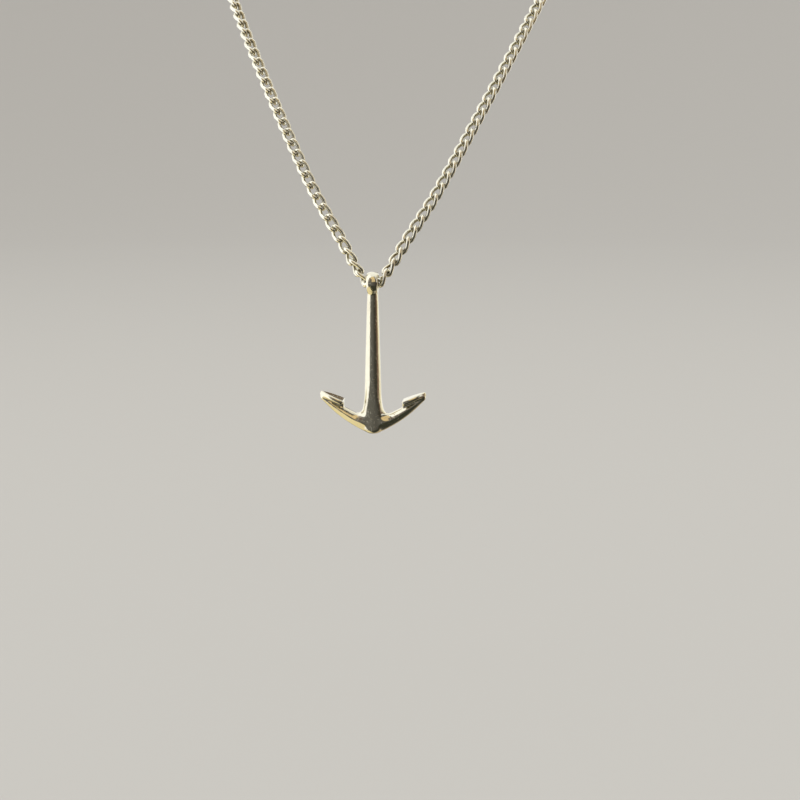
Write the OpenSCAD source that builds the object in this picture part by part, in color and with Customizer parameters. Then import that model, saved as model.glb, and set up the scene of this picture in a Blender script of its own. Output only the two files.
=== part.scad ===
// Anchor pendant necklace in polished steel: a cast anchor with its own bail, hung on a curb chain
// that closes at the nape with a plain clasp. Millimetres, in the form that it has when worn.
// +Z is up, the front faces -Y, and +X is on the right of someone who looks at the front.
// The origin is at the nape, on the inner side of the clasp.

/* [Anchor] */
// Height from the top of the bail to the foot of the crown
anchor_h = 42.7; // [41:0.5:44]
// Width from the tip of one palm to the tip of the other
anchor_w = 28.5; // [27:0.5:29.5]
// Radius of the shank just below the bail
shank_top_r = 1.4; // [1.3:0.05:1.5]
// Radius of the shank where it runs into the crown
shank_foot_r = 2.25; // [2.1:0.05:2.4]
// Greatest half depth of the ridged arms
arm_half_depth = 1.95; // [1.7:0.05:2.1]
// Angle of the inner edge of each arm above the level
arm_rise = 27; // [25:1:29]
// Width of each palm, from front to back
palm_w = 5.4; // [4.6:0.2:6]
// Thickness of each palm
palm_t = 1.1; // [0.9:0.1:1.3]

/* [Bail] */
// Radius of the bore that the chain passes through
bore_r = 2.05; // [2:0.05:2.15]
// Wall of the bail round its bore
bail_wall = 0.9; // [0.8:0.05:1]
// Width of the bail, from side to side
bail_w = 3.2; // [2.9:0.1:3.3]

/* [Chain] */
// Distance from each link to the next
link_pitch = 3.38; // [3.36:0.01:3.4]
// Outer width of a link, across the flat of the chain
link_w = 3.45; // [3.4:0.05:3.5]
// Outer length of a link
link_l = 5.66; // [5.6:0.02:5.7]
// Thickness of the wire, corner to corner of its five sides
wire_d = 0.96; // [0.86:0.02:0.98]
// Twist of a link from its middle to either end
link_twist = 55; // [52:1:57]
// Links on each side, without the one in the bail
links_a_side = 79; // [79]

/* [Clasp] */
// Thickness of the clasp's body
clasp_d = 2.4; // [2:0.1:2.8]
// Thickness of the loops at its two ends
loop_d = 0.7; // [0.6:0.05:0.8]

/* [Hidden] */
$fn = 48;
steel = [0.80, 0.785, 0.70];

// Levels in the anchor, from the middle of its bore
bail_r = bore_r + bail_wall;
crown_z = bail_r - anchor_h;
waist_z = -2.4;
inner_z = crown_z + 3.1;
crown_r = shank_foot_r + 0.45;
palm_tip = [anchor_w / 2 - palm_t / 5, crown_z + 10.8];
arm_tip = palm_tip + [-0.3, -1.7];

// Links: rings round each one, sides of its wire, and how square the oval is
link_rings = 10;
wire_sides = 5;
oval_power = 3;
link_c = (link_l - wire_d) / 2;
link_r = (link_w - wire_d) / 2;

// Route of the right half of the chain, from the middle of the bail's bore to the clasp.
// Columns: x, y, z of the route; x, y, z of the way out from the body that it lies on there; then how far
// the flat of the chain is turned from that way, in degrees, on the right half and on the left one.
route = [
    [1.79, -0.36, 0.03, 0, -1, 0, -88, -89],
    [3.52, 0.6, 2.6, 0, -1, 0, -63, -53],
    [5.1, 1.07, 5, 0, -1, 0.1, -56, -66],
    [8.6, 3.1, 11, 0, -1, 0.2, -22, -15],
    [15, 6.8, 21.1, 0, -0.95, 0.3, -18, 0],
    [20.6, 11.1, 31.3, 0, -0.95, 0.3, -18, 8],
    [31.4, 22.3, 52.2, 0.1, -0.9, 0.4, -20, 28],
    [42.4, 37, 74.2, 0.25, -0.8, 0.5, -22, 52],
    [54, 60, 98, 0.5, -0.5, 0.7, -10, 40],
    [62, 80, 113, 0.7, -0.1, 0.7, 0, 15],
    [64.5, 98, 121, 0.8, 0.1, 0.6, 0, 0],
    [63, 115, 124, 0.8, 0.4, 0.45, 0, 0],
    [56, 131, 124.5, 0.7, 0.6, 0.35, 0, 0],
    [44, 143.5, 123.5, 0.5, 0.8, 0.25, 5, 5],
    [29, 151.5, 122.5, 0.3, 0.9, 0.15, 15, 15],
    [14, 155.5, 122, 0.1, 0.95, 0.05, 30, 30],
    [6.2, 156.5, 122, 0, 1, 0, 40, 40],
    [-4, 156.5, 122, 0, 1, 0, 40, 40]
];
route_steps = 24;

// The link in the bail: its middle's height above that of the bore, and how far its flat is turned
bail_link_rise = 0.18;
bail_link_turn = -102;

function unit(v) = v / norm(v);
function sgn_pow(v, e) = sign(v) * pow(abs(v), e);
function place(v) = [v[0], v[1], v[2]];
function outwards(v) = [v[3], v[4], v[5]];

// A vector turned about a unit axis that it is square to, right-handed
function turned(v, axis, angle) = v * cos(angle) + cross(axis, v) * sin(angle);

// A smooth curve through four rows, at t from 0 to 1 between the middle two
function through(a, b, c, d, t) =
    0.5 * (2 * b + (c - a) * t + (2 * a - 5 * b + 4 * c - d) * t * t + (3 * b - a - 3 * c + d) * t * t * t);

last_row = len(route) - 1;
fine_route = [
    for (i = [0:last_row - 1], k = [0:route_steps - 1])
        through(route[max(i - 1, 0)], route[i], route[i + 1], route[min(i + 2, last_row)], k / route_steps)
];

// The stretch of the fine route on which the distance from a joint grows past one pitch
function stretch(from, i) = norm(place(fine_route[i + 1] - from)) >= link_pitch ? i : stretch(from, i + 1);

// How far along that stretch, from 0 to 1, the next joint lies
function share(a, step, from) =
    let (d = place(a - from), s = place(step), h = d * s, q = s * s)
    (sqrt(h * h - q * (d * d - link_pitch * link_pitch)) - h) / q;

// Joints one pitch apart along the route, each with the way that the flat faces
function joints(from, i, left) =
    left == 0 ? [from] :
    let (j = stretch(from, i), a = fine_route[j], step = fine_route[j + 1] - a)
    concat([from], joints(a + step * share(a, step, from), j, left - 1));

right_joints = joints(route[0], 0, links_a_side);

// The left half mirrors the right one, but its first joint lies half a turn from that of the right
left_joints = [
    for (i = [0:links_a_side])
        let (v = right_joints[i])
        [-v[0], i == 0 ? -v[1] : v[1], v[2], -v[3], v[4], v[5], v[7], v[7]]
];

// The nape, where the clasp's middle lies, is the frame's origin
clasp_end = place(right_joints[links_a_side]);
nape = [0, clasp_end[1] - clasp_d / 2, clasp_end[2]];

// Middle line of a link lying along x with its flat up: an oval, twisted to the left
function link_line(a) =
    let (x = link_c * sgn_pow(cos(a), 2 / oval_power), y = link_r * sgn_pow(sin(a), 2 / oval_power))
    [x, y * cos(link_twist * x / link_c), -y * sin(link_twist * x / link_c)];

link_step = 360 / link_rings;
flat_link = [
    for (k = [0:link_rings - 1])
        let (p = link_line(k * link_step),
             along = unit(link_line((k + 1) * link_step) - link_line((k - 1) * link_step)),
             out = unit(p - along * (p * along)),
             up = cross(along, out))
        for (m = [0:wire_sides - 1])
            p + wire_d / 2 * (out * cos(m * 360 / wire_sides) + up * sin(m * 360 / wire_sides))
];

// The same link with its middle at mid, its length along t and its flat turned from the way out
function placed_link(mid, t, out, turn) =
    let (n = turned(unit(out - t * (out * t)), t, turn), b = cross(n, t))
    [for (v = flat_link) mid + t * v[0] + b * v[1] + n * v[2]];

function strand(list) = [
    for (i = [0:len(list) - 2])
        let (a = place(list[i]), b = place(list[i + 1]), sum = list[i] + list[i + 1])
        each placed_link((a + b) / 2, unit(b - a), outwards(sum), sum[6] / 2)
];

// The triangles of one link whose points start at first
link_points = link_rings * wire_sides;
function link_faces(first) = [
    for (k = [0:link_rings - 1], m = [0:wire_sides - 1])
        let (a = first + k * wire_sides,
             b = first + (k + 1) % link_rings * wire_sides,
             m2 = (m + 1) % wire_sides)
        each [[a + m, b + m2, a + m2], [a + m, b + m, b + m2]]
];

// Closed, separate links as one body
module links(points) {
    polyhedron(points, [for (first = [0:link_points:len(points) - 1]) each link_faces(first)]);
}

// A closed outline from its right half and the mirror image of that
function both_sides(half) = concat(half, [for (i = [len(half) - 1:-1:0]) [-half[i][0], half[i][1]]]);

// Points on an arc in a plane, from one angle to another
function arc(middle, r, from, to, steps) = [
    for (k = [0:steps])
        let (a = from + (to - from) * k / steps)
        middle + r * [cos(a), sin(a)]
];

// The bail: a barrel-shaped eye whose bore runs from side to side, narrower where it runs into the shank
module bail() {
    barrel_r = 3.1;
    half = bail_w / 2;
    side = [[shank_top_r, waist_z - 1], [half - 0.05, 0], [half, bail_r + 1]];
    intersection() {
        rotate([0, 90, 0]) rotate_extrude() intersection() {
            translate([bore_r, -half]) square([bail_wall, bail_w]);
            translate([bail_r - barrel_r, 0]) circle(barrel_r, $fn = 64);
        }
        rotate([90, 0, 0]) linear_extrude(2 * bail_r + 1, center = true)
            polygon(both_sides(side));
    }
}

// The shank: a round bar that widens downwards into the blunt crown, where its front and back are flatter
module shank() {
    front_r = 7;
    half_depth = arm_half_depth + 0.15;
    neck = [[0, waist_z], [shank_top_r, waist_z], [shank_top_r + 0.1, waist_z - 2.6]];
    flare = [[shank_foot_r, crown_z + 10], [crown_r, crown_z + 6.2]];
    foot = arc([crown_r - 2.1, crown_z + 2.1], 2.1, 0, -90, 8);
    intersection() {
        rotate_extrude() polygon(concat(neck, flare, foot, [[0, crown_z]]));
        translate([0, front_r - half_depth, crown_z - 1]) cylinder(r = front_r, h = anchor_h, $fn = 96);
        translate([0, half_depth - front_r, crown_z - 1]) cylinder(r = front_r, h = anchor_h, $fn = 96);
    }
}

// The outer side of an arm: part of a wide ring, with a flat facet from its thin rim to the ridge
module arm_outside() {
    rim_r = 35.5;
    middle = [-12.9, crown_z + 32.7];
    ridge = [[arm_half_depth, rim_r - 1.75], [arm_half_depth + 0.1, rim_r - 9]];
    facet = concat([[0.45, rim_r], [0.75, rim_r - 0.15]], ridge);
    translate([middle[0], 0, middle[1]]) rotate([90, 0, 0])
        rotate_extrude(angle = 30, start = -68.6, $fn = 96) rotate(-90) polygon(both_sides(facet));
}

// Right half of the section of an arm's inner edge, down to a depth below that edge
function inner_edge(half, depth) = [[0.5, 0], [0.95, -0.25], [1.45, -0.9], [half, -2], [half, -depth]];

// The inner side of an arm: a straight bar with a rounder edge, lying at the arm's rise
module arm_inside() {
    translate([0, 0, inner_z]) rotate([0, -arm_rise, 0]) rotate([90, 0, 90]) translate([0, 0, -2])
        linear_extrude(palm_tip[0] / cos(arm_rise) + 1.7)
            polygon(both_sides(inner_edge(arm_half_depth + 0.1, 9)));
}

// The crotch: the rounded fillet between the shank and an arm, running smoothly into the arm's inner edge
module crotch() {
    fillet_r = 1.5;
    sunk = 0.06;
    x = crown_r + fillet_r;
    z = inner_z - sunk + (fillet_r + x * sin(arm_rise)) / cos(arm_rise);
    translate([x, 0, z]) rotate([90, 0, 0]) rotate_extrude(angle = 95 + arm_rise, start = 175)
        translate([fillet_r, 0]) rotate(90) polygon(both_sides(inner_edge(arm_half_depth, 4.2)));
}

// A palm: a leaf-shaped plate on the inner side of an arm, pointed at its tip
module palm() {
    barb = [7.9, crown_z + 8.35];
    run = palm_tip - barb;
    reach = norm(run);
    widest = 1.3;
    leaf_r = (pow(reach - widest, 2) + pow(palm_w / 2, 2)) / palm_w;
    translate([barb[0], 0, barb[1]]) rotate([0, -atan2(run[1], run[0]), 0])
        linear_extrude(palm_t, center = true) intersection() {
            translate([0, -palm_w / 2]) square([reach, palm_w]);
            translate([widest, leaf_r - palm_w / 2]) circle(leaf_r, $fn = 96);
            translate([widest, palm_w / 2 - leaf_r]) circle(leaf_r, $fn = 96);
        }
}

// The seat of a palm: the metal between it and the arm
module palm_seat() {
    rotate([90, 0, 0]) linear_extrude(1.8, center = true)
        polygon([
            [7.75, crown_z + 6.6], [7.65, crown_z + 8.4], palm_tip + [-0.4, -0.3], arm_tip, [9, crown_z + 5.6]
        ]);
}

module arm() {
    intersection() {
        arm_outside();
        union() {
            arm_inside();
            crotch();
        }
    }
    palm_seat();
    palm();
}

// What is rounded off where the two arms meet at the foot of the crown
module foot_corner() {
    foot_r = 4.6;
    rotate([90, 0, 0]) linear_extrude(6, center = true) difference() {
        translate([-foot_r * 0.37, crown_z - 1]) square([foot_r * 0.74, 1.35]);
        translate([0, crown_z + foot_r]) circle(foot_r, $fn = 96);
    }
}

module anchor() {
    color(steel) translate(-nape) difference() {
        union() {
            bail();
            shank();
            arm();
            mirror([1, 0, 0]) arm();
        }
        foot_corner();
        rotate([0, 90, 0]) cylinder(r = bore_r, h = bail_w + 2, center = true);
    }
}

module chain_left() {
    color(steel) translate(-nape) links(strand(left_joints));
}

// The right half also has the link that the bail hangs on
module chain_right() {
    bail_link = placed_link([0, 0, bail_link_rise], [1, 0, 0], [0, -1, 0], bail_link_turn);
    color(steel) translate(-nape) links(concat(bail_link, strand(right_joints)));
}

// The clasp: a closed spindle with a round loop at each end, set across the wire of the last link
module clasp() {
    loop_r = 1.5;
    loop_turn = 80;
    loop_x = clasp_end[0] + 0.6 - loop_r;
    end_r = 0.6;
    half_l = loop_x - loop_r;
    swell = clasp_d / 2 - end_r;
    side_r = (half_l * half_l + swell * swell) / (2 * swell);
    side_a = asin(half_l / side_r);
    side = arc([clasp_d / 2 - side_r, 0], side_r, -side_a, side_a, 8);
    color(steel) translate([0, clasp_d / 2, 0]) {
        rotate([0, 90, 0]) rotate_extrude() polygon(concat([[0, -half_l]], side, [[0, half_l]]));
        for (x = [-loop_x, loop_x])
            translate([x, 0, 0]) rotate([90 - loop_turn, 0, 0])
                rotate_extrude() translate([loop_r, 0]) circle(d = loop_d);
    }
}

anchor();
chain_left();
chain_right();
clasp();
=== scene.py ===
"""Looks of the anchor pendant necklace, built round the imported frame.

Everything is in metres in the part's own frame: +Z is up, the front faces -Y, and the origin is at the nape.
"""
import logging
import math
from dataclasses import dataclass
from enum import Enum

import bmesh
import bpy
from mathutils import Matrix, Vector


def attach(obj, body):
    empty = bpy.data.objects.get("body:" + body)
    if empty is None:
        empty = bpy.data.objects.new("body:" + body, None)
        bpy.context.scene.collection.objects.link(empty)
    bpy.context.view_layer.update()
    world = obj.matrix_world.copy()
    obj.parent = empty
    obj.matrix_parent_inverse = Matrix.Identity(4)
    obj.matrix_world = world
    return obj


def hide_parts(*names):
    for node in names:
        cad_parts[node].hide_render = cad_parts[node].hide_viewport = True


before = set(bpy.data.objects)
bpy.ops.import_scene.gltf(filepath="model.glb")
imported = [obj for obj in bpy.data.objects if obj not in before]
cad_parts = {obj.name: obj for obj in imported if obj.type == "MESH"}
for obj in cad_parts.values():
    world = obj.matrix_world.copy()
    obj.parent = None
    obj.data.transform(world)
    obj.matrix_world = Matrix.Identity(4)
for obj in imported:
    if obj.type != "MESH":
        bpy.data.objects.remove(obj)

log = logging.getLogger("necklace")

MM = 0.001
FULL_TURN = 2 * math.pi
MERGE = 0.0001
INNER_SIDE = "inner_side"


class Body(Enum):
    """The bodies of the frame that the pieces ride on."""

    NECKLACE = "necklace"
    PENDANT = "pendant"


class Side(Enum):
    """The half of the chain, as the viewer sees it."""

    LEFT = "left"
    RIGHT = "right"


# Sub-assemblies of metal


def mesh_object(name: str, bm: bmesh.types.BMesh) -> bpy.types.Object:
    """Makes a smooth shaded mesh object at the origin from a bmesh, and frees the bmesh.

    Args:
        name: The object's name.
        bm: The shape, in metres.

    Returns:
        The new object, linked to the scene.
    """
    mesh = bpy.data.meshes.new(name)
    bm.to_mesh(mesh)
    bm.free()
    for face in mesh.polygons:
        face.use_smooth = True
    obj = bpy.data.objects.new(name, mesh)
    bpy.context.scene.collection.objects.link(obj)
    return obj


def applied(obj: bpy.types.Object) -> None:
    """Replaces an object's mesh by what its modifiers make of it.

    Args:
        obj: The object whose modifiers are used up.
    """
    graph = bpy.context.evaluated_depsgraph_get()
    mesh = bpy.data.meshes.new_from_object(obj.evaluated_get(graph))
    obj.modifiers.clear()
    obj.data = mesh


def dress(obj: bpy.types.Object, material: bpy.types.Material, body: Body, slot: str, *nodes: str) -> None:
    """Gives a piece its material and its body, and hides the CAD nodes that it stands for.

    Args:
        obj: The piece.
        material: Its material.
        body: The body that it rides on.
        slot: Not used.
        *nodes: The CAD nodes that it replaces.
    """
    obj.data.materials.clear()
    obj.data.materials.append(material)
    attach(obj, body.value)
    if nodes:
        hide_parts(*nodes)


@dataclass
class ChainRoute:
    """Where the links lie, from the middle of the bail's bore to the clasp, in millimetres.

    Each row holds a place, the way out from the body that the chain lies on there, and how far the flat of
    the chain is turned from that way, in degrees, on the right half and on the left one.
    """

    pitch: float = 3.38
    links_a_side: int = 79
    steps: int = 24
    clasp_d: float = 2.4
    bail_link_rise: float = 0.18
    bail_link_turn: float = -102
    rows: tuple[tuple[float, ...], ...] = (
        (1.79, -0.36, 0.03, 0, -1, 0, -88, -89),
        (3.52, 0.6, 2.6, 0, -1, 0, -63, -53),
        (5.1, 1.07, 5, 0, -1, 0.1, -56, -66),
        (8.6, 3.1, 11, 0, -1, 0.2, -22, -15),
        (15, 6.8, 21.1, 0, -0.95, 0.3, -18, 0),
        (20.6, 11.1, 31.3, 0, -0.95, 0.3, -18, 8),
        (31.4, 22.3, 52.2, 0.1, -0.9, 0.4, -20, 28),
        (42.4, 37, 74.2, 0.25, -0.8, 0.5, -22, 52),
        (54, 60, 98, 0.5, -0.5, 0.7, -10, 40),
        (62, 80, 113, 0.7, -0.1, 0.7, 0, 15),
        (64.5, 98, 121, 0.8, 0.1, 0.6, 0, 0),
        (63, 115, 124, 0.8, 0.4, 0.45, 0, 0),
        (56, 131, 124.5, 0.7, 0.6, 0.35, 0, 0),
        (44, 143.5, 123.5, 0.5, 0.8, 0.25, 5, 5),
        (29, 151.5, 122.5, 0.3, 0.9, 0.15, 15, 15),
        (14, 155.5, 122, 0.1, 0.95, 0.05, 30, 30),
        (6.2, 156.5, 122, 0, 1, 0, 40, 40),
        (-4, 156.5, 122, 0, 1, 0, 40, 40),
    )

    def __post_init__(self) -> None:
        """Works out the joints of the right half and the place of the nape."""
        self.right_joints = self._march()
        end = self.right_joints[-1]
        self.nape = Vector((0.0, end[1] - self.clasp_d / 2, end[2]))
        self.clasp_x = end[0]

    @staticmethod
    def _through(a: tuple, b: tuple, c: tuple, d: tuple, t: float) -> list[float]:
        """Gives a point on the smooth curve through four rows.

        Args:
            a: The row before the stretch.
            b: The row at its start.
            c: The row at its end.
            d: The row after it.
            t: How far along the stretch, from 0 to 1.

        Returns:
            The row at that place.
        """
        return [
            0.5 * (
                2 * q + (r - p) * t + (2 * p - 5 * q + 4 * r - s) * t * t + (3 * q - p - 3 * r + s) * t ** 3
            )
            for p, q, r, s in zip(a, b, c, d)
        ]

    def _march(self) -> list[list[float]]:
        """Steps along the curve one pitch at a time.

        Returns:
            One row for each joint between two links.
        """
        rows, last = self.rows, len(self.rows) - 1
        fine = [
            self._through(rows[max(i - 1, 0)], rows[i], rows[i + 1], rows[min(i + 2, last)], k / self.steps)
            for i in range(last)
            for k in range(self.steps)
        ]
        joints, i = [list(rows[0])], 0
        while len(joints) <= self.links_a_side:
            start = Vector(joints[-1][:3])
            while (Vector(fine[i + 1][:3]) - start).length < self.pitch:
                i += 1
            step = [q - p for p, q in zip(fine[i], fine[i + 1])]
            off, along = Vector(fine[i][:3]) - start, Vector(step[:3])
            h, q = off.dot(along), along.length_squared
            share = (math.sqrt(h * h - q * (off.length_squared - self.pitch ** 2)) - h) / q
            joints.append([p + share * s for p, s in zip(fine[i], step)])
        return joints

    def joints(self, side: Side) -> list[list[float]]:
        """Gives the joints of one half; the left one mirrors the right but for its first joint.

        Args:
            side: The half that is wanted.

        Returns:
            One row for each joint, whose seventh value is the turn on that side.
        """
        if side is Side.RIGHT:
            return self.right_joints
        return [
            [-v[0], -v[1] if i == 0 else v[1], v[2], -v[3], v[4], v[5], v[7], v[7]]
            for i, v in enumerate(self.right_joints)
        ]

    def placing(self, middle: Vector, along: Vector, out: Vector, turn: float) -> Matrix:
        """Gives the matrix that carries a flat link from the origin to its place in the frame.

        Args:
            middle: The link's middle, in millimetres from the bore.
            along: The unit vector along the link.
            out: The way out from the body.
            turn: How far the flat is turned from that way, in degrees.

        Returns:
            A matrix in metres.
        """
        face = (out - along * out.dot(along)).normalized()
        face = Matrix.Rotation(math.radians(turn), 3, along) @ face
        across = face.cross(along)
        place = (middle - self.nape) * MM
        return Matrix.Translation(place) @ Matrix((along, across, face)).transposed().to_4x4()

    def placings(self, side: Side) -> list[Matrix]:
        """Gives the places of one half's links, and on the right that of the link in the bail too.

        Args:
            side: The half that is wanted.

        Returns:
            One matrix for each link, the lowest link first.
        """
        found = []
        if side is Side.RIGHT:
            middle = Vector((0, 0, self.bail_link_rise))
            found.append(self.placing(middle, Vector((1, 0, 0)), Vector((0, -1, 0)), self.bail_link_turn))
        rows = self.joints(side)
        for low, high in zip(rows, rows[1:]):
            a, b = Vector(low[:3]), Vector(high[:3])
            out = Vector(low[3:6]) + Vector(high[3:6])
            found.append(self.placing((a + b) / 2, (b - a).normalized(), out, (low[6] + high[6]) / 2))
        return found


@dataclass
class CurbLink:
    """One twisted link of round wire, in millimetres: long along X, with its flat up."""

    length: float = 5.68
    width: float = 3.47
    wire: float = 1.05
    twist: float = 56
    power: float = 3.0
    rings: int = 16
    sides: int = 6

    def line(self, angle: float) -> Vector:
        """Gives a point on the link's middle line.

        Args:
            angle: The place round the link, in radians.

        Returns:
            The point, in millimetres.
        """
        long_r, wide_r = (self.length - self.wire) / 2, (self.width - self.wire) / 2
        c, s, e = math.cos(angle), math.sin(angle), 2 / self.power
        x, y = long_r * math.copysign(abs(c) ** e, c), wide_r * math.copysign(abs(s) ** e, s)
        turn = math.radians(self.twist * x / long_r)
        return Vector((x, y * math.cos(turn), -y * math.sin(turn)))

    def ring(self, angle: float) -> Matrix:
        """Gives the matrix that carries the wire's round section to a place on the link.

        Args:
            angle: The place round the link, in radians.

        Returns:
            A matrix in millimetres, whose Z axis runs along the wire.
        """
        reach = FULL_TURN / self.rings / 2
        p = self.line(angle)
        along = (self.line(angle + reach) - self.line(angle - reach)).normalized()
        out = (p - along * p.dot(along)).normalized()
        up = along.cross(out)
        return Matrix.Translation(p) @ Matrix((out, up, along)).transposed().to_4x4()

    def mesh(self) -> bpy.types.Mesh:
        """Sweeps the wire's section round the link and closes it.

        An attribute runs from 0 on the link's outer side to 1 on its inner side, towards the hole, where the
        material paints shade.

        Returns:
            One closed link as a mesh, in metres.
        """
        bm = bmesh.new()
        # This layer marks the wire's inner side, where the material paints shade between the links.
        inner = bm.verts.layers.float.new(INNER_SIDE)
        for vert in bmesh.ops.create_circle(bm, segments=self.sides, radius=self.wire / 2)["verts"]:
            vert[inner] = 0.5 - vert.co.x / self.wire
        first = list(bm.edges)
        places = [self.ring(k * FULL_TURN / self.rings) for k in range(self.rings)]
        bmesh.ops.transform(bm, matrix=places[0], verts=bm.verts)
        edges = first
        for before, after in zip(places, places[1:]):
            made = bmesh.ops.extrude_edge_only(bm, edges=edges)["geom"]
            verts = [g for g in made if isinstance(g, bmesh.types.BMVert)]
            edges = [g for g in made if isinstance(g, bmesh.types.BMEdge)]
            edges = [e for e in edges if all(v in verts for v in e.verts)]
            bmesh.ops.transform(bm, matrix=after @ before.inverted(), verts=verts)
        bmesh.ops.bridge_loops(bm, edges=first + edges)
        bmesh.ops.recalc_face_normals(bm, faces=bm.faces)
        bmesh.ops.scale(bm, vec=(MM, MM, MM), verts=bm.verts)
        mesh = bpy.data.meshes.new("curb_link")
        bm.to_mesh(mesh)
        bm.free()
        return mesh


@dataclass
class CurbChain:
    """The chain's two halves, each one piece of loose links."""

    route: ChainRoute
    link: CurbLink

    def half(self, side: Side) -> bpy.types.Object:
        """Lays the links of one half.

        Args:
            side: The half that is wanted.

        Returns:
            The half as one object.
        """
        link = self.link.mesh()
        bm = bmesh.new()
        for place in self.route.placings(side):
            done = len(bm.verts)
            bm.from_mesh(link)
            bm.verts.ensure_lookup_table()
            bmesh.ops.transform(bm, matrix=place, verts=bm.verts[done:])
        bpy.data.meshes.remove(link)
        return mesh_object("curb_links_" + side.value, bm)

    def build(self, material: bpy.types.Material) -> list[bpy.types.Object]:
        """Builds and dresses both halves.

        Args:
            material: The steel of the links.

        Returns:
            The two pieces.
        """
        made = []
        for side in Side:
            obj = self.half(side)
            dress(obj, material, Body.NECKLACE, "chain_steel", "chain_" + side.value)
            made.append(obj)
        return made


@dataclass(frozen=True)
class SoftSpot:
    """A place where polishing has melted two forms into each other, in millimetres from the bore.

    The spot is smoothed in rounds whose reach shrinks to its share of the first, so that it has no rim.
    """

    place: tuple[float, float, float]
    reach: float
    rounds: int
    last_share: float = 0.4


@dataclass
class Anchor:
    """The cast anchor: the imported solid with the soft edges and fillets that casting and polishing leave."""

    route: ChainRoute
    voxel: float = 0.14 * MM
    polish_rounds: int = 9
    regrown: float = 0.04 * MM
    spots: tuple[SoftSpot, ...] = (
        SoftSpot((0.0, 0.0, -36.0), 8.0, 16),
        SoftSpot((-3.0, 0.0, -34.6), 2.8, 40),
        SoftSpot((3.0, 0.0, -34.6), 2.8, 40),
        SoftSpot((0.0, -2.0, -32.0), 3.6, 50),
        SoftSpot((0.0, 2.0, -32.0), 3.6, 50),
        SoftSpot((-11.2, 0.0, -30.2), 4.5, 24),
        SoftSpot((11.2, 0.0, -30.2), 4.5, 24),
        SoftSpot((0.0, 0.0, -3.4), 2.6, 40),
        SoftSpot((0.0, 0.0, 0.0), 3.8, 16, last_share=0.9),
    )

    def build(self, material: bpy.types.Material) -> bpy.types.Object:
        """Builds and dresses the anchor.

        Args:
            material: The steel of the anchor.

        Returns:
            The piece.
        """
        bm = bmesh.new()
        bm.from_mesh(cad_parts["anchor"].data)
        bmesh.ops.remove_doubles(bm, verts=bm.verts, dist=0.001 * MM)
        obj = mesh_object("cast_anchor", bm)
        cast = obj.modifiers.new("cast", "REMESH")
        cast.mode = "VOXEL"
        cast.voxel_size = self.voxel
        applied(obj)
        self.polish(obj)
        grown = obj.modifiers.new("regrown", "DISPLACE")
        grown.strength = self.regrown
        grown.mid_level = 0.0
        applied(obj)
        dress(obj, material, Body.PENDANT, "anchor_steel", "anchor")
        return obj

    def polish(self, obj: bpy.types.Object) -> None:
        """Softens every edge a little, and the soft spots a lot.

        Args:
            obj: The remeshed anchor.
        """
        bm = bmesh.new()
        bm.from_mesh(obj.data)
        for spot in self.spots:
            middle = (Vector(spot.place) - self.route.nape) * MM
            near = [(v, (v.co - middle).length) for v in bm.verts]
            near = [(v, far) for v, far in near if far < spot.reach * MM]
            for k in range(spot.rounds):
                reach = spot.reach * MM * (1 - (1 - spot.last_share) * k / spot.rounds)
                self.smooth(bm, [v for v, far in near if far < reach])
        for _ in range(self.polish_rounds):
            self.smooth(bm, bm.verts)
        bm.to_mesh(obj.data)
        bm.free()
        for face in obj.data.polygons:
            face.use_smooth = True

    @staticmethod
    def smooth(bm: bmesh.types.BMesh, verts: object) -> None:
        """Moves vertices half of the way to the middle of their neighbours.

        Args:
            bm: The mesh.
            verts: The vertices that move.
        """
        bmesh.ops.smooth_vert(bm, verts=verts, factor=0.5, use_axis_x=True, use_axis_y=True, use_axis_z=True)


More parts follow.
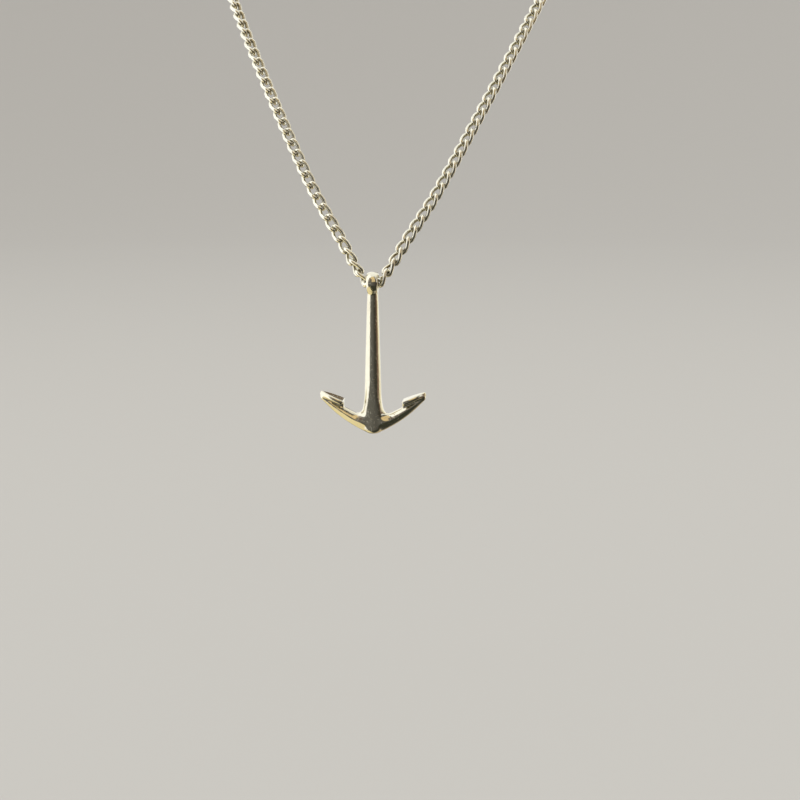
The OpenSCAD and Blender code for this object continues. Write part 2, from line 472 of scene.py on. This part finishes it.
@dataclass
class Clasp:
    """The closed clasp at the nape: a turned barrel with a wire loop at either end, in millimetres."""

    route: ChainRoute
    body_d: float = 2.4
    loop_d: float = 0.7
    loop_r: float = 1.5
    end_r: float = 0.6
    reach: float = 0.6
    loop_turn: float = 80
    turned_steps: int = 24
    round_steps: int = 48

    def build(self, material: bpy.types.Material) -> bpy.types.Object:
        """Builds and dresses the clasp.

        Args:
            material: The steel of the clasp.

        Returns:
            The piece.
        """
        loop_x = self.route.clasp_x + self.reach - self.loop_r
        half = loop_x - self.loop_r
        bm = bmesh.new()
        self.barrel(bm, half)
        for x in (-loop_x, loop_x):
            self.loop(bm, x)
        bmesh.ops.translate(bm, vec=(0, self.body_d / 2, 0), verts=bm.verts)
        bmesh.ops.scale(bm, vec=(MM, MM, MM), verts=bm.verts)
        obj = mesh_object("nape_clasp", bm)
        dress(obj, material, Body.NECKLACE, "chain_steel", "clasp")
        return obj

    def barrel(self, bm: bmesh.types.BMesh, half: float) -> None:
        """Turns the barrel about X from its outline.

        Args:
            bm: The mesh that it is added to.
            half: Half of the barrel's length.
        """
        swell = self.body_d / 2 - self.end_r
        side_r = (half * half + swell * swell) / (2 * swell)
        before = bm.verts.new((-half, 0, 0))
        edges = []
        for k in range(self.turned_steps + 1):
            x = half * (2 * k / self.turned_steps - 1)
            r = math.sqrt(side_r * side_r - x * x) - side_r + self.body_d / 2
            here = bm.verts.new((x, r, 0))
            edges.append(bm.edges.new((before, here)))
            before = here
        edges.append(bm.edges.new((before, bm.verts.new((half, 0, 0)))))
        verts = {v for e in edges for v in e.verts}
        bmesh.ops.spin(
            bm, geom=list(verts) + edges, cent=(0, 0, 0), axis=(1, 0, 0), angle=FULL_TURN,
            steps=self.round_steps, use_merge=True,
        )
        bmesh.ops.remove_doubles(bm, verts=bm.verts, dist=MERGE)
        bmesh.ops.recalc_face_normals(bm, faces=bm.faces)

    def loop(self, bm: bmesh.types.BMesh, x: float) -> None:
        """Adds one wire loop.

        Args:
            bm: The mesh that it is added to.
            x: The loop's middle.
        """
        made = bmesh.ops.create_circle(bm, segments=16, radius=self.loop_d / 2)["verts"]
        edges = list({e for v in made for e in v.link_edges})
        bmesh.ops.rotate(bm, verts=made, cent=(0, 0, 0), matrix=Matrix.Rotation(math.pi / 2, 3, "X"))
        bmesh.ops.translate(bm, verts=made, vec=(self.loop_r, 0, 0))
        done = set(bm.verts) - set(made)
        bmesh.ops.spin(
            bm, geom=made + edges, cent=(0, 0, 0), axis=(0, 0, 1), angle=FULL_TURN, steps=self.round_steps,
            use_merge=True,
        )
        ring = [v for v in bm.verts if v not in done]
        tilt = Matrix.Rotation(math.radians(90 - self.loop_turn), 3, "X")
        bmesh.ops.rotate(bm, verts=ring, cent=(0, 0, 0), matrix=tilt)
        bmesh.ops.translate(bm, verts=ring, vec=(x, 0, 0))
        bmesh.ops.recalc_face_normals(bm, faces=list({f for v in ring for f in v.link_faces}))


# Finishes


def group_socket(
    tree: bpy.types.NodeTree, name: str, kind: str, output: bool = False, value: float = 0.0
) -> None:
    """Adds an input or an output to a node group.

    Args:
        tree: The group's tree.
        name: The socket's name.
        kind: The socket's type.
        output: Whether it is an output.
        value: The default of a number input.
    """
    made = tree.interface.new_socket(name, in_out="OUTPUT" if output else "INPUT", socket_type=kind)
    if not output and kind == "NodeSocketFloat":
        made.default_value = value


def scratch_group() -> bpy.types.NodeTree:
    """Makes the group that draws the hairline scratches of worn, polished steel.

    Returns:
        The group, which puts out a height and a mask.
    """
    tree = bpy.data.node_groups.new("hairline_scratches", "ShaderNodeTree")
    group_socket(tree, "Vector", "NodeSocketVector")
    group_socket(tree, "Per metre", "NodeSocketFloat", value=900.0)
    group_socket(tree, "Share", "NodeSocketFloat", value=0.1)
    group_socket(tree, "Mask", "NodeSocketFloat", output=True)
    nodes, link = tree.nodes, tree.links.new
    given, result = nodes.new("NodeGroupInput"), nodes.new("NodeGroupOutput")
    total = None
    ways = (
        ((0.3, 0.5, 0.2), (1.0, 14.0, 1.0)),
        ((0.9, 0.1, 1.1), (1.0, 1.0, 18.0)),
        ((0.2, 1.2, 0.7), (22.0, 1.0, 1.0)),
    )
    for turn, stretch in ways:
        mapping = nodes.new("ShaderNodeMapping")
        mapping.inputs["Rotation"].default_value = turn
        mapping.inputs["Scale"].default_value = stretch
        noise = nodes.new("ShaderNodeTexNoise")
        noise.inputs["Detail"].default_value = 2.0
        line = nodes.new("ShaderNodeMapRange")
        line.inputs["From Min"].default_value = 0.66
        line.inputs["From Max"].default_value = 0.74
        link(given.outputs["Vector"], mapping.inputs["Vector"])
        link(mapping.outputs["Vector"], noise.inputs["Vector"])
        link(given.outputs["Per metre"], noise.inputs["Scale"])
        link(noise.outputs["Fac"], line.inputs["Value"])
        if total is None:
            total = line.outputs["Result"]
            continue
        top = nodes.new("ShaderNodeMath")
        top.operation = "MAXIMUM"
        link(total, top.inputs[0])
        link(line.outputs["Result"], top.inputs[1])
        total = top.outputs["Value"]
    scaled = nodes.new("ShaderNodeMath")
    scaled.operation = "MULTIPLY"
    link(total, scaled.inputs[0])
    link(given.outputs["Share"], scaled.inputs[1])
    link(scaled.outputs["Value"], result.inputs["Mask"])
    return tree


def handling_group() -> bpy.types.NodeTree:
    """Makes the group that draws the soft haze and the slow colour drift that handling leaves.

    Returns:
        The group, which puts out a mask from 0 to 1.
    """
    tree = bpy.data.node_groups.new("handling_haze", "ShaderNodeTree")
    group_socket(tree, "Vector", "NodeSocketVector")
    group_socket(tree, "Per metre", "NodeSocketFloat", value=120.0)
    group_socket(tree, "Mask", "NodeSocketFloat", output=True)
    nodes, link = tree.nodes, tree.links.new
    given, result = nodes.new("NodeGroupInput"), nodes.new("NodeGroupOutput")
    noise = nodes.new("ShaderNodeTexNoise")
    noise.inputs["Detail"].default_value = 3.0
    noise.inputs["Roughness"].default_value = 0.6
    spread = nodes.new("ShaderNodeMapRange")
    spread.inputs["From Min"].default_value = 0.35
    spread.inputs["From Max"].default_value = 0.7
    link(given.outputs["Vector"], noise.inputs["Vector"])
    link(given.outputs["Per metre"], noise.inputs["Scale"])
    link(noise.outputs["Fac"], spread.inputs["Value"])
    link(spread.outputs["Result"], result.inputs["Mask"])
    return tree


@dataclass(frozen=True)
class PolishedSteel:
    """Warm polished steel with hairlines and a little haze; it can also paint shade on the inner side of a
    link's wire.
    """

    name: str
    bright: tuple[float, float, float]
    dull: tuple[float, float, float]
    roughness: tuple[float, float] = (0.07, 0.16)
    hairlines: float = 0.5
    hairline_scale: float = 700.0
    haze_scale: float = 130.0
    bump: float = 0.02
    # Dark colour painted as shade on the inner side of a link's wire, where the links lie in each other's
    # shade, and how strongly it is painted.
    inner: tuple[float, float, float] = (0.28, 0.25, 0.15)
    inner_shade_share: float = 0.0

    def build(self, scratches: bpy.types.NodeTree, haze: bpy.types.NodeTree) -> bpy.types.Material:
        """Builds the material.

        Args:
            scratches: The group of the hairlines.
            haze: The group of the haze.

        Returns:
            The material.
        """
        material = bpy.data.materials.new(self.name)
        material.use_nodes = True
        nodes, link = material.node_tree.nodes, material.node_tree.links.new
        shader = nodes["Principled BSDF"]
        shader.inputs["Metallic"].default_value = 1.0
        where = nodes.new("ShaderNodeTexCoord").outputs["Object"]
        fine = nodes.new("ShaderNodeGroup")
        fine.node_tree = scratches
        fine.inputs["Per metre"].default_value = self.hairline_scale
        fine.inputs["Share"].default_value = self.hairlines
        soft = nodes.new("ShaderNodeGroup")
        soft.node_tree = haze
        soft.inputs["Per metre"].default_value = self.haze_scale
        link(where, fine.inputs["Vector"])
        link(where, soft.inputs["Vector"])
        tone = nodes.new("ShaderNodeMix")
        tone.data_type = "RGBA"
        tone.inputs["A"].default_value = (*self.bright, 1.0)
        tone.inputs["B"].default_value = (*self.dull, 1.0)
        link(soft.outputs["Mask"], tone.inputs["Factor"])
        link(tone.outputs["Result"], shader.inputs["Base Color"])
        # Painted shade: the base colour darkens towards the inner colour on the wire's inner side.
        if self.inner_shade_share:
            inside = nodes.new("ShaderNodeAttribute")
            inside.attribute_name = INNER_SIDE
            inner_shade_ramp = nodes.new("ShaderNodeMapRange")
            inner_shade_ramp.inputs["From Min"].default_value = 0.6
            inner_shade_ramp.inputs["From Max"].default_value = 0.95
            inner_shade_ramp.inputs["To Max"].default_value = self.inner_shade_share
            link(inside.outputs["Fac"], inner_shade_ramp.inputs["Value"])
            inner_shade_mix = nodes.new("ShaderNodeMix")
            inner_shade_mix.data_type = "RGBA"
            link(inner_shade_ramp.outputs["Result"], inner_shade_mix.inputs["Factor"])
            link(tone.outputs["Result"], inner_shade_mix.inputs["A"])
            inner_shade_mix.inputs["B"].default_value = (*self.inner, 1.0)
            link(inner_shade_mix.outputs["Result"], shader.inputs["Base Color"])
        rough = nodes.new("ShaderNodeMapRange")
        rough.inputs["To Min"].default_value = self.roughness[0]
        rough.inputs["To Max"].default_value = self.roughness[1]
        both = nodes.new("ShaderNodeMath")
        both.operation = "MAXIMUM"
        link(soft.outputs["Mask"], both.inputs[0])
        link(fine.outputs["Mask"], both.inputs[1])
        link(both.outputs["Value"], rough.inputs["Value"])
        link(rough.outputs["Result"], shader.inputs["Roughness"])
        bump = nodes.new("ShaderNodeBump")
        bump.inputs["Strength"].default_value = 1.0
        bump.inputs["Distance"].default_value = self.bump * MM
        bump.invert = True
        link(fine.outputs["Mask"], bump.inputs["Height"])
        link(bump.outputs["Normal"], shader.inputs["Normal"])
        return material


# Studio


def panel_group() -> bpy.types.NodeTree:
    """Makes the group that lights one soft-edged panel of the room, placed by its bearing and its height.

    Returns:
        The group, whose inputs are angles in degrees and which adds the panel to a colour.
    """
    tree = bpy.data.node_groups.new("soft_panel", "ShaderNodeTree")
    for name, kind in (("Before", "NodeSocketColor"), ("Light", "NodeSocketColor")):
        group_socket(tree, name, kind)
    names = ("Bearing", "Height", "Middle bearing", "Half width", "Middle height", "Half height", "Edge")
    for name in names:
        group_socket(tree, name, "NodeSocketFloat")
    group_socket(tree, "Colour", "NodeSocketColor", output=True)
    nodes, link = tree.nodes, tree.links.new
    given, result = nodes.new("NodeGroupInput"), nodes.new("NodeGroupOutput")

    def step(operation: str, *values: object) -> bpy.types.NodeSocket:
        """Adds one step of arithmetic.

        Args:
            operation: The Math node's operation.
            *values: Sockets or numbers.

        Returns:
            The step's result.
        """
        node = nodes.new("ShaderNodeMath")
        node.operation = operation
        for socket, value in zip(node.inputs, values):
            if isinstance(value, bpy.types.NodeSocket):
                link(value, socket)
            else:
                socket.default_value = value
        return node.outputs["Value"]

    masks = []
    sides = (("Bearing", "Middle bearing", "Half width"), ("Height", "Middle height", "Half height"))
    for value, middle, half in sides:
        off = step("ABSOLUTE", step("SUBTRACT", given.outputs[value], given.outputs[middle]))
        if value == "Bearing":
            off = step("MINIMUM", off, step("SUBTRACT", 360.0, off))
        inside = step("DIVIDE", step("SUBTRACT", given.outputs[half], off), given.outputs["Edge"])
        masks.append(step("MINIMUM", step("MAXIMUM", step("ADD", inside, 0.5), 0.0), 1.0))
    mix = nodes.new("ShaderNodeMix")
    mix.data_type = "RGBA"
    link(step("MULTIPLY", *masks), mix.inputs["Factor"])
    link(given.outputs["Before"], mix.inputs["A"])
    link(given.outputs["Light"], mix.inputs["B"])
    link(mix.outputs["Result"], result.inputs["Colour"])
    return tree


@dataclass(frozen=True)
class Panel:
    """A soft-edged panel of the room that the metal reflects. Bearings run from the camera to its right."""

    bearing: float
    half_width: float
    height: float
    half_height: float
    edge: float
    light: tuple[float, float, float]


ROOM = (0.155, 0.15, 0.135)
PANELS = (
    Panel(45, 40, 0, 90, 50, (0.055, 0.05, 0.04)),
    Panel(0, 70, -62, 40, 14, (0.042, 0.043, 0.029)),
    Panel(180, 105, 38, 52, 16, (1.1, 1.1, 1.04)),
    Panel(-34, 11, 36, 15, 8, (0.18, 0.14, 0.115)),
    Panel(172, 7.5, 13, 9, 4, (0.15, 0.11, 0.065)),
    Panel(150, 40, -46, 18, 12, (0.55, 0.45, 0.28)),
    Panel(-2, 29, 70, 24, 8, (0.84, 0.64, 0.34)),
    Panel(8, 18, 42, 24, 8, (0.84, 0.64, 0.34)),
    Panel(-70, 36, 74, 16, 8, (1.3, 1.3, 1.25)),
    Panel(74, 28, 48, 38, 8, (0.95, 0.95, 0.9)),
    Panel(0, 180, 90, 16, 8, (1.0, 1.0, 0.94)),
    Panel(76, 13, 8, 46, 8, (0.20, 0.13, 0.09)),
    Panel(92, 8, 8, 46, 8, (0.36, 0.27, 0.17)),
    Panel(114, 15, 12, 54, 8, (1.05, 0.97, 0.72)),
    Panel(-90, 42, 12, 56, 6, (1.35, 1.33, 1.26)),
    Panel(-90, 60, -58, 26, 14, (0.95, 0.82, 0.47)),
)


@dataclass
class Studio:
    """The pale floor and its sweep, the soft lights and the camera at the photograph's viewing angle."""

    bore: Vector
    azimuth: float = 5.0
    elevation: float = 10.0
    distance: float = 416 * MM
    aside: float = -7.1 * MM
    above: float = 30.4 * MM
    lens: float = 72.0
    floor_z: float = -0.23
    floor_r: float = 1.3
    wall_h: float = 1.6
    sweep_r: float = 0.8
    floor_glow: float = 0.27
    sweep_steps: int = 12
    floor_steps: int = 96
    aim: float = -0.02

    def camera(self) -> None:
        """Places the camera."""
        a, e = math.radians(self.azimuth), math.radians(self.elevation)
        back = Vector((math.sin(a) * math.cos(e), -math.cos(a) * math.cos(e), math.sin(e)))
        turn = (-back).to_track_quat("-Z", "Y")
        right, up = turn @ Vector((1, 0, 0)), turn @ Vector((0, 1, 0))
        data = bpy.data.cameras.new("camera")
        data.lens = self.lens
        data.clip_start = 0.01
        cam = bpy.data.objects.new("camera", data)
        cam.location = self.bore - right * self.aside - up * self.above + back * self.distance
        cam.rotation_mode = "QUATERNION"
        cam.rotation_quaternion = turn
        bpy.context.scene.collection.objects.link(cam)
        bpy.context.scene.camera = cam

    def floor(self) -> None:
        """Builds the round floor that sweeps up into a wall on all sides."""
        bm = bmesh.new()
        before = bm.verts.new((0, 0, 0))
        outline = [(self.floor_r, 0.0)]
        for k in range(1, self.sweep_steps + 1):
            a = math.pi / 2 * k / self.sweep_steps
            outline.append((self.floor_r + self.sweep_r * math.sin(a), self.sweep_r * (1 - math.cos(a))))
        outline.append((self.floor_r + self.sweep_r, self.wall_h))
        edges = []
        for r, z in outline:
            here = bm.verts.new((r, 0, z))
            edges.append(bm.edges.new((before, here)))
            before = here
        verts = {v for e in edges for v in e.verts}
        bmesh.ops.spin(
            bm, geom=list(verts) + edges, cent=(0, 0, 0), axis=(0, 0, 1), angle=FULL_TURN,
            steps=self.floor_steps, use_merge=True,
        )
        bmesh.ops.remove_doubles(bm, verts=bm.verts, dist=MERGE)
        bmesh.ops.recalc_face_normals(bm, faces=bm.faces)
        bmesh.ops.reverse_faces(bm, faces=bm.faces)
        bmesh.ops.translate(bm, vec=(0, 0, self.floor_z), verts=bm.verts)
        obj = mesh_object("pale_floor", bm)
        material = bpy.data.materials.new("pale_floor")
        material.use_nodes = True
        shader = material.node_tree.nodes["Principled BSDF"]
        shader.inputs["Base Color"].default_value = (0.28, 0.275, 0.265, 1)
        shader.inputs["Roughness"].default_value = 0.9
        shader.inputs["Emission Color"].default_value = (1.0, 0.985, 0.955, 1)
        shader.inputs["Emission Strength"].default_value = self.floor_glow
        obj.data.materials.append(material)
        obj.visible_glossy = False

    def softbox(
        self, name: str, place: tuple[float, float, float], size: tuple[float, float], power: float
    ) -> None:
        """Places one soft rectangular light that faces the pendant.

        Args:
            name: The light's name.
            place: Its place from the bore, in metres.
            size: Its width and height.
            power: Its power, in watts.
        """
        data = bpy.data.lights.new(name, "AREA")
        data.shape = "RECTANGLE"
        data.size, data.size_y = size
        data.energy = power
        data.color = (1.0, 0.99, 0.96)
        obj = bpy.data.objects.new(name, data)
        obj.location = self.bore + Vector(place)
        target = self.bore + Vector((0, 0, self.aim))
        obj.rotation_mode = "QUATERNION"
        obj.rotation_quaternion = (obj.location - target).to_track_quat("Z", "Y")
        obj.visible_camera = False
        obj.visible_glossy = False
        bpy.context.scene.collection.objects.link(obj)

    def world(self) -> None:
        """Fills the room with the soft panels that the metal reflects."""
        world = bpy.data.worlds.new("room")
        world.use_nodes = True
        bpy.context.scene.world = world
        nodes, link = world.node_tree.nodes, world.node_tree.links.new
        split = nodes.new("ShaderNodeSeparateXYZ")
        link(nodes.new("ShaderNodeTexCoord").outputs["Generated"], split.inputs["Vector"])
        ahead = (split.outputs["Y"], -1.0)
        bearing = self._degrees(nodes, link, "ARCTAN2", split.outputs["X"], ahead, self.azimuth)
        height = self._degrees(nodes, link, "ARCSINE", split.outputs["Z"], None, 0.0)
        tree = panel_group()
        colour = None
        for panel in PANELS:
            node = nodes.new("ShaderNodeGroup")
            node.node_tree = tree
            node.inputs["Before"].default_value = (*ROOM, 1)
            if colour:
                link(colour, node.inputs["Before"])
            node.inputs["Light"].default_value = (*panel.light, 1)
            link(bearing, node.inputs["Bearing"])
            link(height, node.inputs["Height"])
            node.inputs["Middle bearing"].default_value = panel.bearing
            node.inputs["Half width"].default_value = panel.half_width
            node.inputs["Middle height"].default_value = panel.height
            node.inputs["Half height"].default_value = panel.half_height
            node.inputs["Edge"].default_value = panel.edge
            colour = node.outputs["Colour"]
        link(colour, nodes["Background"].inputs["Color"])

    @staticmethod
    def _degrees(nodes: bpy.types.Nodes, link: object, operation: str, value: bpy.types.NodeSocket,
                 other: tuple[bpy.types.NodeSocket, float] | None, less: float) -> bpy.types.NodeSocket:
        """Adds the steps that turn a direction into an angle in degrees.

        Args:
            nodes: The world's nodes.
            link: What links two sockets.
            operation: The angle's Math operation.
            value: Its first value.
            other: Its second value and that value's sign, if it has one.
            less: The degrees that are taken away.

        Returns:
            The angle.
        """
        angle = nodes.new("ShaderNodeMath")
        angle.operation = operation
        link(value, angle.inputs[0])
        if other:
            sign = nodes.new("ShaderNodeMath")
            sign.operation = "MULTIPLY"
            link(other[0], sign.inputs[0])
            sign.inputs[1].default_value = other[1]
            link(sign.outputs["Value"], angle.inputs[1])
        turned = nodes.new("ShaderNodeMath")
        turned.operation = "MULTIPLY_ADD"
        link(angle.outputs["Value"], turned.inputs[0])
        turned.inputs[1].default_value = math.degrees(1)
        turned.inputs[2].default_value = -less
        return turned.outputs["Value"]

    def build(self) -> None:
        """Builds the whole studio."""
        self.camera()
        self.floor()
        self.world()
        self.softbox("left_box", (-0.8, -0.5, 0.3), (0.9, 1.0), 3.0)
        self.softbox("right_box", (0.8, -0.5, 0.3), (0.9, 1.0), 2.5)
        self.softbox("top_box", (0.0, 0.2, 0.9), (1.4, 1.0), 2.5)


def main() -> None:
    """Builds the necklace and the studio round the frame, and logs the faces of each piece."""
    logging.basicConfig(level=logging.INFO, format="%(name)s: %(message)s")
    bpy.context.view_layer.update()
    route = ChainRoute()
    bore = -route.nape * MM
    Studio(bore).build()
    bpy.context.scene.view_settings.view_transform = "Standard"
    scratches, haze = scratch_group(), handling_group()
    cast = PolishedSteel("cast_anchor_steel", (0.82, 0.79, 0.68), (0.74, 0.70, 0.58))
    # The chain's links get painted shade on the inner sides of their wires.
    drawn = PolishedSteel(
        "drawn_chain_steel", (0.90, 0.88, 0.79), (0.84, 0.82, 0.73), roughness=(0.14, 0.22), inner_shade_share=0.9
    )
    cast_steel, drawn_steel = cast.build(scratches, haze), drawn.build(scratches, haze)
    halves = CurbChain(route, CurbLink()).build(drawn_steel)
    pieces = [Anchor(route).build(cast_steel), *halves, Clasp(route).build(drawn_steel)]
    for piece in pieces:
        log.info("%s: %d faces", piece.name, len(piece.data.polygons))


if __name__ == "__main__":
    main()
